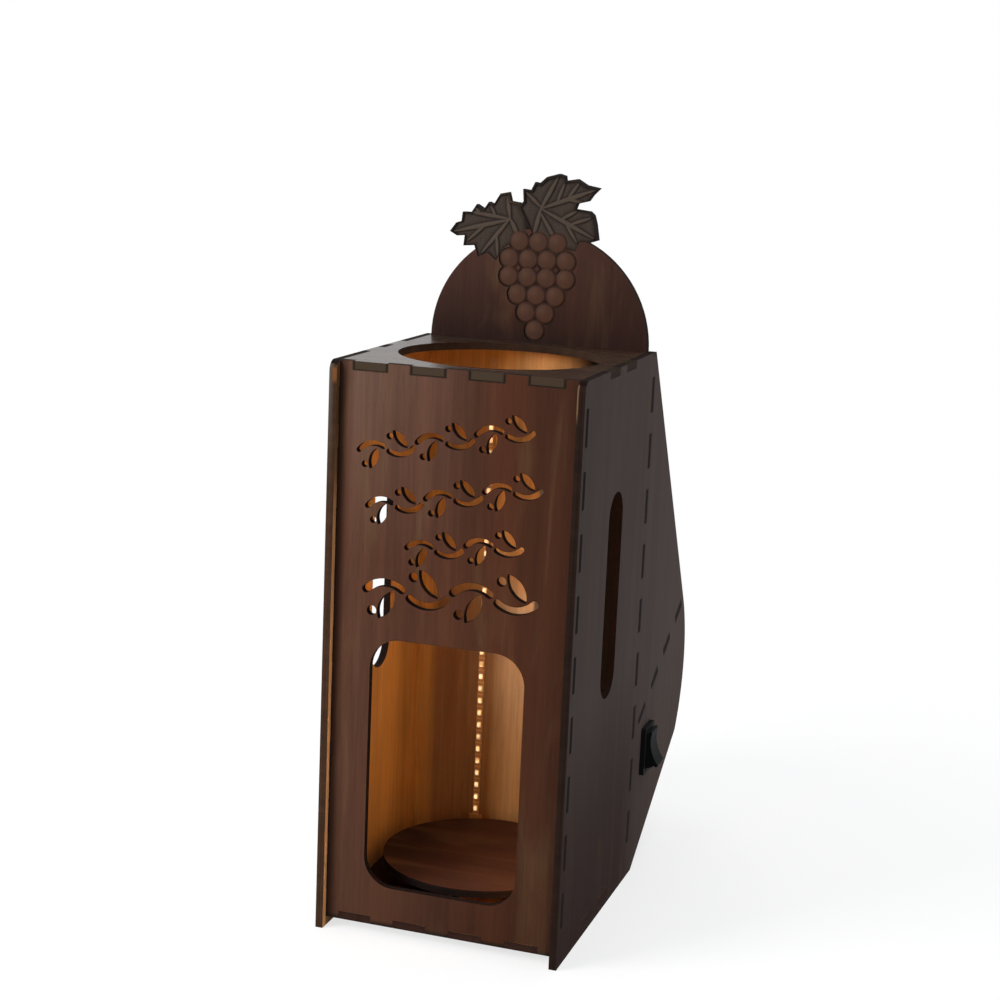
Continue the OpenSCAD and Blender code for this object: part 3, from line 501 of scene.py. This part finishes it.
def right_side_wood():
    """Grey-brown stain outside, with painted light that grows towards the rear, painted shade towards the
    foot and low at the front, and darker wood round the rear slots.
    """
    # Painted light: the side gets brighter towards the rear.
    light_to_rear = ("y", 10, 185, fade((0, 0.86), (0.36, 0.92), (0.56, 1.03), (0.8, 1.14), (1, 1.24)))
    # Painted shade: darker towards the foot.
    shade_to_foot = ("z", FOOT_H, 84, ((0.0, (0.88, 0.81, 0.79)), (1.0, grey(1.0))))
    # Painted shade low at the front.
    low_front_shade = (
        (0.033, 0.0180, 0.0152),
        ("y", 0, 116, fade((0, 0.95), (0.75, 0.88), (1, 0.05))),
        ("z", FOOT_H, 100, fade((0, 1), (0.4, 0.78), (1, 0))),
    )
    back_slots = scorch((BACK_FACE + REAR_FACE) / 2, TOP_SIDE_TAB_Z, math.pi / 2, SIDE_TAB_PITCH, SIDE_TAB,
                        ("z", 10, 12, fade((0, 0), (1, 0.8))))
    shelf_slots = scorch(*shelf_row(), SHELF_ANGLE, SHELF_TAB_PITCH, SHELF_TAB,
                         ("y", 128, 134, fade((0, 0), (1, 0.8))))
    # Painted highlight: a pale tan line on the front edge's inner corner, near the top.
    edge_highlight = (
        srgb(150, 118, 84),
        ("x", 46.5, 47.3, fade((0, 0.8), (0.5, 0.6), (1, 0))),
        LIP_ONLY,
        ("z", 209, 214, fade((0, 0), (1, 1))),
    )
    return plywood(
        "side_wood_right", "x", "z", SIDE, 1, lip=srgb(43, 31, 26), matt=0.85, shine=0.05, contrast=0.35,
        seed=0.71, painted_shading=(light_to_rear, shade_to_foot), patches=(low_front_shade, back_slots, shelf_slots),
        inner_patches=((NATURAL, PAST_BACK),), edge_patches=(edge_highlight,),
    )


def top_wood():
    """Dark and smoother, with grey-brown tab ends at the front that are burnt at their corners."""
    tab_end = ("y", 3.0, 3.6, fade((0, 1), (1, 0)))
    side_tab_top = ("x", INNER_X, INNER_X + 0.2, fade((0, 0), (1, 1)))
    wide, narrow = TAB_HALF - 0.3, TAB_HALF - 0.7
    corners = along_tabs((-wide, 0.9), (-narrow, 0.0), (narrow, 0.0), (wide, 0.9))
    return plywood("top_wood", "z", "x", (0.034, 0.0195, 0.0135), 1, edge=srgb(50, 37, 29), matt=0.27,
                   shine=0.12, contrast=0.7, seed=0.29, patches=((srgb(30, 26, 20), side_tab_top),),
                   edge_patches=((srgb(70, 57, 45), tab_end), (BURN, tab_end, corners)))


def bottom_wood():
    # Painted shadow on the floor of the box, at the left.
    shaded = (PAINTED_SHADOW, ("x", -16, 2, fade((0, 1), (1, 0))))
    return plywood("bottom_wood", "z", "x", STAIN, -1, edge=srgb(54, 34, 28), shine=0.12, seed=0.83,
                   inner_patches=(shaded,))


def disc_wood():
    # Painted shade on the left of the rest disc's top, lighter at its front edge.
    shaded = (PAINTED_SHADOW, ("x", -30, 4, fade((0, 1), (1, 0.15))), ("y", 12, 30, fade((0, 0.5), (1, 1))))
    return plywood("disc_wood", "z", "x", srgb(75, 46, 35), 1, matt=0.5, shine=0.15, seed=0.47,
                   patches=(shaded,))


def shelf_wood():
    return plywood("shelf_wood", "z", "x", SIDE, slope=SHELF_ANGLE, edge=srgb(31, 25, 23), shine=0.12,
                   seed=0.61)


# Plastics, metals and lights
def plastic(name, colour, rough, grain=2200, depth=0.00003, **settings):
    t = Tree(name)
    fine = t.noise(t.coords(), grain, 3, 0.6)
    broad = t.noise(t.coords(), 60, 2, 0.5)
    tint = t.mix(t.math("MULTIPLY", broad, 0.5), dim(colour, 0.85), dim(colour, 1.12))
    dull = t.math("ADD", t.math("MULTIPLY", fine, 0.16), rough - 0.08, clamp=True)
    t.shade(tint, dull, t.bump(fine, depth, 0.35), **settings)
    return t.owner


def metal(name, colour, rough):
    t = Tree(name)
    fine = t.noise(t.coords((1, 1, 0.15)), 900, 3, 0.6)
    broad = t.noise(t.coords(), 130, 2, 0.5)
    dull = t.math("ADD", t.math("MULTIPLY", fine, 0.2), rough)
    t.shade(t.mix(broad, dim(colour, 0.8), colour), dull, t.bump(fine, 0.00002, 0.4), Metallic=1.0)
    return t.owner


def cell_sleeve():
    """Plain blue-grey sleeve with a bare metal button and base."""
    t = Tree("cell_sleeve")
    end = t.step(t.math("ABSOLUTE", t.parts("Normal")[0]), 0.7, 0.8)
    spots = t.noise(t.coords(), 300, 2, 0.5)
    sleeve = t.mix(spots, (0.05, 0.085, 0.15), (0.065, 0.11, 0.19))
    rough = t.math("ADD", t.math("MULTIPLY", spots, 0.1), 0.28)
    shader = t.shade(t.mix(end, sleeve, (0.62, 0.61, 0.58)), rough, t.bump(spots, 0.00002, 0.3))
    t.put(shader.inputs["Metallic"], t.math("MULTIPLY", end, 0.9))
    return t.owner


LED_PITCH, LED_HALF = 5.4, 1.2
# Thickness of a strip and of an LED's case
STRIP_T, CASE_T = 0.5, 0.5


def strip_film():
    """Amber flexible circuit with a copper pad between each two LEDs."""
    t = Tree("strip_film")
    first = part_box("rear_leds")[0].z + LED_HALF / 1000
    run = t.math("SUBTRACT", t.parts()[2], first)
    phase = t.math("FRACT", t.math("MULTIPLY", run, 1000 / LED_PITCH))
    pad = t.math("MULTIPLY", t.step(phase, 0.43, 0.45), t.step(phase, 0.57, 0.55))
    spots = t.noise(t.coords(), 800, 2, 0.5)
    film = t.mix(spots, srgb(150, 108, 64), srgb(190, 142, 88))
    rough = t.math("ADD", t.math("MULTIPLY", spots, 0.1), 0.35)
    t.shade(t.mix(pad, film, srgb(208, 150, 96)), rough, t.bump(spots, 0.00002, 0.3))
    return t.owner


def led_lens(name, strength, case_top, sign, tones, spread):
    """White case with a lens that glows amber. case_top is the y of the case's top and sign the way
    that it looks. Each LED has its own brightness, down to 1 - spread."""
    t = Tree(name)
    above = t.math("MULTIPLY", t.math("SUBTRACT", t.parts()[1], metres(case_top, "y")), float(sign))
    lens = t.step(above, 0.00002, 0.0001)
    core = t.step(above, 0.0001, 0.0008)
    spots = t.noise(t.coords(), 500, 2, 0.5)
    tint = t.mix(lens, (0.80, 0.74, 0.62), (1.0, 0.66, 0.26))
    rough = t.math("ADD", t.math("MULTIPLY", spots, 0.1), 0.3)
    shader = t.shade(tint, rough, t.bump(spots, 0.00002, 0.3))
    t.put(shader.inputs["Emission Color"], t.ramp(core, tuple(zip((0.0, 0.5, 1.0), tones))))
    own = t.noise(t.coords((0.001, 0.001, 1)), 330, 0, 0.5)
    bright = t.ramp(own, fade((0.36, 1 - spread), (0.6, 1)))
    t.put(shader.inputs["Emission Strength"], t.math("MULTIPLY", t.math("MULTIPLY", lens, bright), strength))
    return t.owner


def dress_nodes():
    """Gives every CAD node its material."""
    black = plastic("black_plastic", (0.012, 0.012, 0.012), 0.7, Specular_IOR_Level=0.04)
    gloss = plastic("gloss_plastic", (0.009, 0.010, 0.010), 0.65, grain=900, depth=0.00001,
                    Specular_IOR_Level=0.04)
    tin = metal("tinned_metal", (0.72, 0.71, 0.68), 0.2)
    red = plastic("red_insulation", (0.50, 0.02, 0.015), 0.36)
    dark = plastic("black_insulation", (0.018, 0.018, 0.018), 0.4)
    sleeve = cell_sleeve()
    film = strip_film()
    rear_glow = led_lens("rear_led_lens", 1.3, BACK_FACE - STRIP_T - CASE_T, -1,
                         ((0.75, 0.34, 0.12), (1.0, 0.58, 0.26), (1.0, 0.70, 0.38)), 0.75)
    front_glow = led_lens("front_led_lens", 145.0, FRONT_BACK + STRIP_T + CASE_T, 1,
                          ((1.0, 0.45, 0.10), (1.0, 0.60, 0.20), (1.0, 0.70, 0.30)), 0.2)
    finish = {
        "front_panel": front_wood(),
        "back_panel": back_wood(),
        "side_panel_left": left_side_wood(),
        "side_panel_right": right_side_wood(),
        "top_panel": top_wood(),
        "bottom_panel": bottom_wood(),
        "rest_disc": disc_wood(),
        "rest_rib_long": plywood("rib_wood_long", "y", "x", RAW, seed=0.19),
        "rest_rib_cross": plywood("rib_wood_cross", "x", "y", RAW, seed=0.23),
        "rear_shelf": shelf_wood(),
        "switch_housing": black,
        "switch_rocker": gloss,
        "switch_terminals": tin,
        "battery_tray": black,
        "battery_cell_1": sleeve,
        "battery_cell_2": sleeve,
        "battery_cell_3": sleeve,
        "contact_springs": tin,
        "contact_plates": tin,
        "rear_led_strip": film,
        "front_led_strip": film,
        "rear_leds": rear_glow,
        "front_leds": front_glow,
        "battery_lead": red,
        "switch_lead": red,
        "return_lead": dark,
        "link_lead_red": red,
        "link_lead_black": dark,
    }
    for name, material in finish.items():
        nodes[name].data.materials.clear()
        nodes[name].data.materials.append(material)


dress_nodes()

# Vine ornament, carved over the CAD engraving, in millimetres from VINE_X and VINE_Z.
# A leaf's rim is its outline, and a vein is (from x, from z, to x, to z, share of the main veins' width)
GRID = 0.25
VINE_X, VINE_Z = -8.0, 271.6
GROUND, VEIN_W = 0.95, 1.3
GROUND_DEPTH, REAR_DEPTH = 0.62, 0.75
FAR = 1e9
GRAPE_ROWS, GRAPE_R, GRAPE_MARGIN = (3, 4, 4, 3, 2, 1), 4.2, 0.4
GRAPE_STEP_X, GRAPE_STEP_Z = 8.064, 7.224
GRAPE_START_X, GRAPE_START_Z = 6.5, -5.5
RIGHT_LEAF = dict(
    rim=[(3, -2), (0, 4), (-2.6, 8.6), (-0.6, 10.6), (-1, 15.6), (2.4, 15.2), (4, 18.6), (6, 18.2),
         (8.9, 20.9), (13.9, 22.4), (16.6, 21.7), (16.9, 19.8), (21.8, 20.7), (25.8, 18.4),
         (31.3, 17.5), (28.5, 14.6), (26.8, 12.1), (22.3, 10.9), (21.5, 8.7), (27.6, 8.1),
         (29.3, 6.7), (30.4, 3.1), (31.5, -3.3), (28.3, -4.4), (24.4, -4.6), (22.6, -8.6),
         (18.4, -8), (14.6, -11), (9, -8)],
    shift=(0.8, 0),
    veins=[(4, -4, 7, 8.4, 1), (6.6, 7.4, 13.6, 21, 0.95), (6.8, 8, 29.6, 16.8, 1),
           (7, 8, 29.6, -2.6, 1), (6.4, 7, 16.6, -8.6, 0.85), (7, 8.6, 0.4, 14.2, 0.8),
           (13.6, 10.8, 16.4, 18.4, 0.65), (18, 12.6, 22.6, 19.2, 0.65),
           (17.6, 12.4, 24.6, 11.4, 0.6), (15.6, 4.2, 22, 7.8, 0.65), (19.6, 2.4, 28, 5.4, 0.65),
           (17.4, 3.2, 22.6, -4.6, 0.65)],
)
LEFT_LEAF = dict(
    rim=[(2, -3), (1, 5), (-2.4, 10), (-6, 10.4), (-7, 14), (-10.6, 13.2), (-13.2, 8.8),
         (-15.4, 9.6), (-17.4, 6.6), (-20.6, 8.4), (-22.8, 5), (-26.6, 5), (-27, 1.2),
         (-29.3, 0.4), (-31.9, -3.2), (-28.7, -4.9), (-25.4, -4.6), (-25.8, -8.8), (-21, -8.4),
         (-19.4, -13.4), (-15, -11.4), (-11, -14.6), (-8, -9)],
    shift=(-0.8, -0.2),
    veins=[(-2, -4, -6, 3.4, 1), (-5.6, 3, -30, -3.2, 1), (-6, 3.2, -24.4, 5.2, 0.85),
           (-6, 3, -7.6, 12.2, 0.85), (-6, 3.4, -17.6, -11.2, 0.9), (-12.4, 4.2, -14.6, 8, 0.6),
           (-16, 0.6, -24, -6.6, 0.65), (-18.6, 4.2, -21.4, 7, 0.6),
           (-11.6, -3.2, -10.8, -12.2, 0.65)],
)
GRAPES = [((i - (count - 1) / 2) * GRAPE_STEP_X + GRAPE_START_X, GRAPE_START_Z - row * GRAPE_STEP_Z)
          for row, count in enumerate(GRAPE_ROWS) for i in range(count)]


def smooth(value, low, high):
    """0 at low, 1 at high, and smooth between them."""
    share = np.clip((value - low) / (high - low), 0, 1)
    return share * share * (3 - 2 * share)


def outline_gap(x, z, points):
    """Distance to a closed outline, negative inside it."""
    corners = np.array(points, float)
    gap = np.full(x.shape, FAR)
    inside = np.zeros(x.shape, bool)
    for (ax, az), (bx, bz) in zip(corners, np.roll(corners, -1, 0)):
        side_x, side_z = bx - ax, bz - az
        share = ((x - ax) * side_x + (z - az) * side_z) / (side_x * side_x + side_z * side_z)
        share = np.clip(share, 0, 1)
        gap = np.minimum(gap, np.hypot(x - ax - share * side_x, z - az - share * side_z))
        if side_z:
            inside ^= ((az > z) != (bz > z)) & (x < ax + (z - az) * side_x / side_z)
    return np.where(inside, -gap, gap)


def vein_gap(x, z, vein):
    """Distance to a pointed vein, negative on it, and the place of side veins that leave it."""
    x0, z0, x1, z1, width = vein
    length = math.hypot(x1 - x0, z1 - z0)
    ux, uz = (x1 - x0) / length, (z1 - z0) / length
    along = (x - x0) * ux + (z - z0) * uz
    off = np.abs((x - x0) * uz - (z - z0) * ux)
    half = VEIN_W * width / 2 * (1 - (2 * np.clip(along / length, 0, 1) - 1) ** 2)
    past = np.maximum(np.maximum(-along, along - length), 0)
    gap = np.hypot(np.maximum(off - half, 0), past) - np.maximum(half - off, 0) * (past == 0)
    return gap, along - off


def leaf_carving(x, z, leaf):
    """Depth and tone of one leaf, and the distance to the rim of its sunk ground."""
    shift_x, shift_z = leaf["shift"]
    rim = outline_gap(x, z, [(px * GROUND + shift_x, pz * GROUND + shift_z) for px, pz in leaf["rim"]])
    gap, run = np.full(x.shape, FAR), np.zeros(x.shape)
    for vein in leaf["veins"]:
        this_gap, this_run = vein_gap(x, z, vein)
        closer = this_gap < gap
        gap, run = np.where(closer, this_gap, gap), np.where(closer, this_run, run)
    # The blade swells between the veins and has fine side veins across it
    swell = smooth(np.minimum(gap, -rim), 0.1, 2.0)
    ribs = 0.5 + 0.5 * np.cos(2 * math.pi * run / 1.5)
    blade = 0.52 - 0.20 * swell + 0.05 * ribs * swell
    vein_top = 0.14 + 0.06 * smooth(gap, -0.5, 0.1)
    flank = blade + (vein_top - blade) * (1 - smooth(gap, 0.15, 0.6))
    depth = np.where(gap < 0.15, vein_top, flank)
    # Tone: dark beside the veins and at the rim, pale on the veins
    tone = 0.34 + 0.28 * swell - 0.13 * ribs * swell
    tone = tone - 0.22 * smooth(gap, 0.2, 0.45) * (1 - smooth(gap, 0.5, 1.1))
    tone = tone + (0.9 - tone) * (1 - smooth(gap, 0.0, 0.3)) - 0.3 * (1 - smooth(-rim, 0.0, 0.7))
    return depth, tone, rim


def grape_carving(x, z, grape):
    """Depth and tone of one grape, and the distance from its middle."""
    away = np.hypot(x - grape[0], z - grape[1])
    dome = 0.06 + 0.18 * (np.minimum(away, 3.6) / 3.55) ** 2.6
    depth = dome + (0.58 - dome) * smooth(away, 3.65, 4.2)
    lit = np.hypot(x - grape[0] + 1.2, z - grape[1] - 1.3)
    tone = 0.58 + 0.24 * (1 - smooth(lit, 0.2, 3.2)) - 0.34 * smooth(away, 3.2, 3.9)
    return depth, tone, away


def carving():
    """Grid of the ornament: places, depth, tone, where a grape is, and which points are used."""
    x, z = np.meshgrid(np.arange(-32, 32.01, GRID), np.arange(-50, 24.01, GRID), indexing="ij")
    depth = np.full(x.shape, GROUND_DEPTH)
    tone = np.full(x.shape, 0.12)
    grape = np.zeros(x.shape)
    ground = np.full(x.shape, FAR)
    sheet = np.hypot(x + VINE_X, z + VINE_Z - ROUND_Z) - ROUND_R
    for leaf in (RIGHT_LEAF, LEFT_LEAF):
        sheet = np.minimum(sheet, outline_gap(x, z, leaf["rim"]))
        leaf_depth, leaf_tone, rim = leaf_carving(x, z, leaf)
        ground = np.minimum(ground, rim)
        here = rim < 0.5
        depth, tone = np.where(here, leaf_depth, depth), np.where(here, leaf_tone, tone)
    for place in GRAPES:
        grape_depth, grape_tone, away = grape_carving(x, z, place)
        ground = np.minimum(ground, away - GRAPE_R - GRAPE_MARGIN)
        here = away < GRAPE_R + 0.05
        depth, tone = np.where(here, grape_depth, depth), np.where(here, grape_tone, tone)
        grape = np.where(here, 1.0, grape)
    return x, z, depth, tone, grape, (ground < 0.45) & (sheet < -0.12)


def vine_relief():
    """Closed thin solid over the carving's grid, with its tone kept on the points."""
    x, z, depth, tone, grape, used = carving()
    cells = used[:-1, :-1] & used[1:, :-1] & used[:-1, 1:] & used[1:, 1:]
    keep = np.zeros(x.shape, bool)
    for dx in (0, 1):
        for dz in (0, 1):
            keep[dx:keep.shape[0] - 1 + dx, dz:keep.shape[1] - 1 + dz] |= cells
    count = int(keep.sum())
    number = np.full(x.shape, -1)
    number[keep] = np.arange(count)
    foot = at(VINE_X, BACK_FACE, VINE_Z)
    front = np.stack([
        foot.x + x[keep] / 1000,
        foot.y + depth[keep] / 1000,
        foot.z + z[keep] / 1000,
    ], 1)
    rear = front.copy()
    rear[:, 1] = foot.y + REAR_DEPTH / 1000
    i, j = np.nonzero(cells)
    quads = np.stack([number[i, j], number[i + 1, j], number[i + 1, j + 1], number[i, j + 1]], 1)
    faces = [quads, quads[:, ::-1] + count]
    # Walls where a cell has no neighbour: (step to the neighbour, first corner, last corner)
    padded = np.pad(cells, 1)
    sides = (
        ((-1, 0), (0, 1), (0, 0)),
        ((1, 0), (1, 0), (1, 1)),
        ((0, -1), (0, 0), (1, 0)),
        ((0, 1), (1, 1), (0, 1)),
    )
    for (di, dj), first, last in sides:
        neighbour = padded[1 + di:padded.shape[0] - 1 + di, 1 + dj:padded.shape[1] - 1 + dj]
        i, j = np.nonzero(cells & ~neighbour)
        start, end = number[i + first[0], j + first[1]], number[i + last[0], j + last[1]]
        faces.append(np.stack([end, start, start + count, end + count], 1))
    mesh = bpy.data.meshes.new("vine_relief")
    mesh.from_pydata(np.concatenate([front, rear]).tolist(), [], np.concatenate(faces).tolist())
    mesh.update()
    for label, values in (("tone", tone), ("grape", grape)):
        layer = mesh.attributes.new(label, "FLOAT", "POINT")
        layer.data.foreach_set("value", np.tile(values[keep], 2).astype(np.float32))
    mesh.polygons.foreach_set("use_smooth", [True] * len(mesh.polygons))
    mesh.materials.append(engraved_wood())
    relief = bpy.data.objects.new("vine_relief", mesh)
    scene.collection.objects.link(relief)
    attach(relief, HOLDER)


def engraved_wood():
    """Burnt ground, paler veins and red-brown grapes, read from the relief's own values."""
    t = Tree("engraved_wood")
    tone = t.node("Attribute", attribute_name="tone").outputs["Fac"]
    grape = t.node("Attribute", attribute_name="grape").outputs["Fac"]
    grain = t.noise(t.coords((1, 1, 0.03)), 520, 3, 0.55, 0.3)
    burn = t.noise(t.coords(), 900, 2, 0.6)
    level = t.math("ADD", tone, t.total((grain, 0.25), (burn, 0.12)))
    level = t.math("SUBTRACT", level, 0.185, clamp=True)
    leaf = t.ramp(level, (
        (0.0, srgb(22, 17, 14)),
        (0.3, srgb(44, 36, 31)),
        (0.6, srgb(62, 53, 47)),
        (0.9, srgb(76, 66, 58)),
    ))
    fruit = t.ramp(level, (
        (0.0, srgb(34, 21, 16)),
        (0.4, srgb(64, 42, 33)),
        (0.7, srgb(76, 52, 41)),
        (1.0, srgb(88, 63, 51)),
    ))
    rough = t.math("ADD", t.math("MULTIPLY", burn, 0.15), 0.6)
    t.shade(t.mix(grape, leaf, fruit), rough, t.bump(grain, 0.00004, 0.5), Specular_IOR_Level=0.12)
    return t.owner


vine_relief()

# Floor, background and lamps
FLOOR_HALF = 3.0
FLOOR_BOUNCE, FLOOR_SEEN, FLOOR_LIFT = (0.55, 0.55, 0.55, 1), (0.34, 0.34, 0.345, 1), 0.72
SHADOW_END, WHITE_START = 0.16, 0.42
AMBIENT, AMBIENT_TINT = 0.34, (0.93, 0.96, 1.0, 1)
WHITE = (1, 1, 1, 1)


def floor_material():
    """A pale floor. To the eye it is white, dimmed by the shadow near the object and plain further
    away."""
    t = Tree("floor")
    lit = t.node("AddShader")
    t.put(lit.inputs[0], t.node("BsdfDiffuse", Color=FLOOR_SEEN).outputs[0])
    t.put(lit.inputs[1], t.node("Emission", Color=WHITE, Strength=FLOOR_LIFT).outputs[0])
    x, y, _ = t.parts()
    away = t.math("SQRT", t.math("ADD", t.math("POWER", x, 2.0), t.math("POWER", y, 2.0)))
    plain = t.node("Emission", Color=WHITE, Strength=1.0).outputs[0]
    seen = t.blend(t.step(away, SHADOW_END, WHITE_START), lit.outputs[0], plain)
    bounce = t.node("BsdfDiffuse", Color=FLOOR_BOUNCE).outputs[0]
    t.put(t.out.inputs["Surface"], t.blend(t.view_ray(), bounce, seen))
    return t.owner


def make_floor():
    corners = [(-1, -1), (1, -1), (1, 1), (-1, 1)]
    mesh = bpy.data.meshes.new("floor")
    mesh.from_pydata([(x * FLOOR_HALF, y * FLOOR_HALF, 0) for x, y in corners], [], [(0, 1, 2, 3)])
    mesh.materials.append(floor_material())
    floor = bpy.data.objects.new("floor", mesh)
    scene.collection.objects.link(floor)


def make_world():
    """Soft light from all round, and white to the eye."""
    t = Tree("world", "worlds")
    soft = t.node("Background", Color=AMBIENT_TINT, Strength=AMBIENT).outputs[0]
    white = t.node("Background", Color=WHITE, Strength=1.0).outputs[0]
    t.put(t.out.inputs["Surface"], t.blend(t.view_ray(), soft, white))
    scene.world = t.owner


def lamp(name, place, power, size, colour=(1, 1, 1), aim=(0, 0, 0.13)):
    data = bpy.data.lights.new(name, "AREA")
    data.shape = "SQUARE"
    data.size = size
    data.energy = power
    data.color = colour
    light = bpy.data.objects.new(name, data)
    scene.collection.objects.link(light)
    light.location = place
    light.rotation_euler = (Vector(aim) - Vector(place)).to_track_quat("-Z", "Y").to_euler()


make_floor()
make_world()
lamp("key", (-0.68, -0.68, 0.55), 8.5, 0.5, (1.0, 0.98, 0.95))
lamp("fill", (1.7, 0.1, 0.9), 6.0, 1.4, (0.95, 0.97, 1.0))
lamp("top", (-0.1, 0.3, 1.9), 12, 1.2)
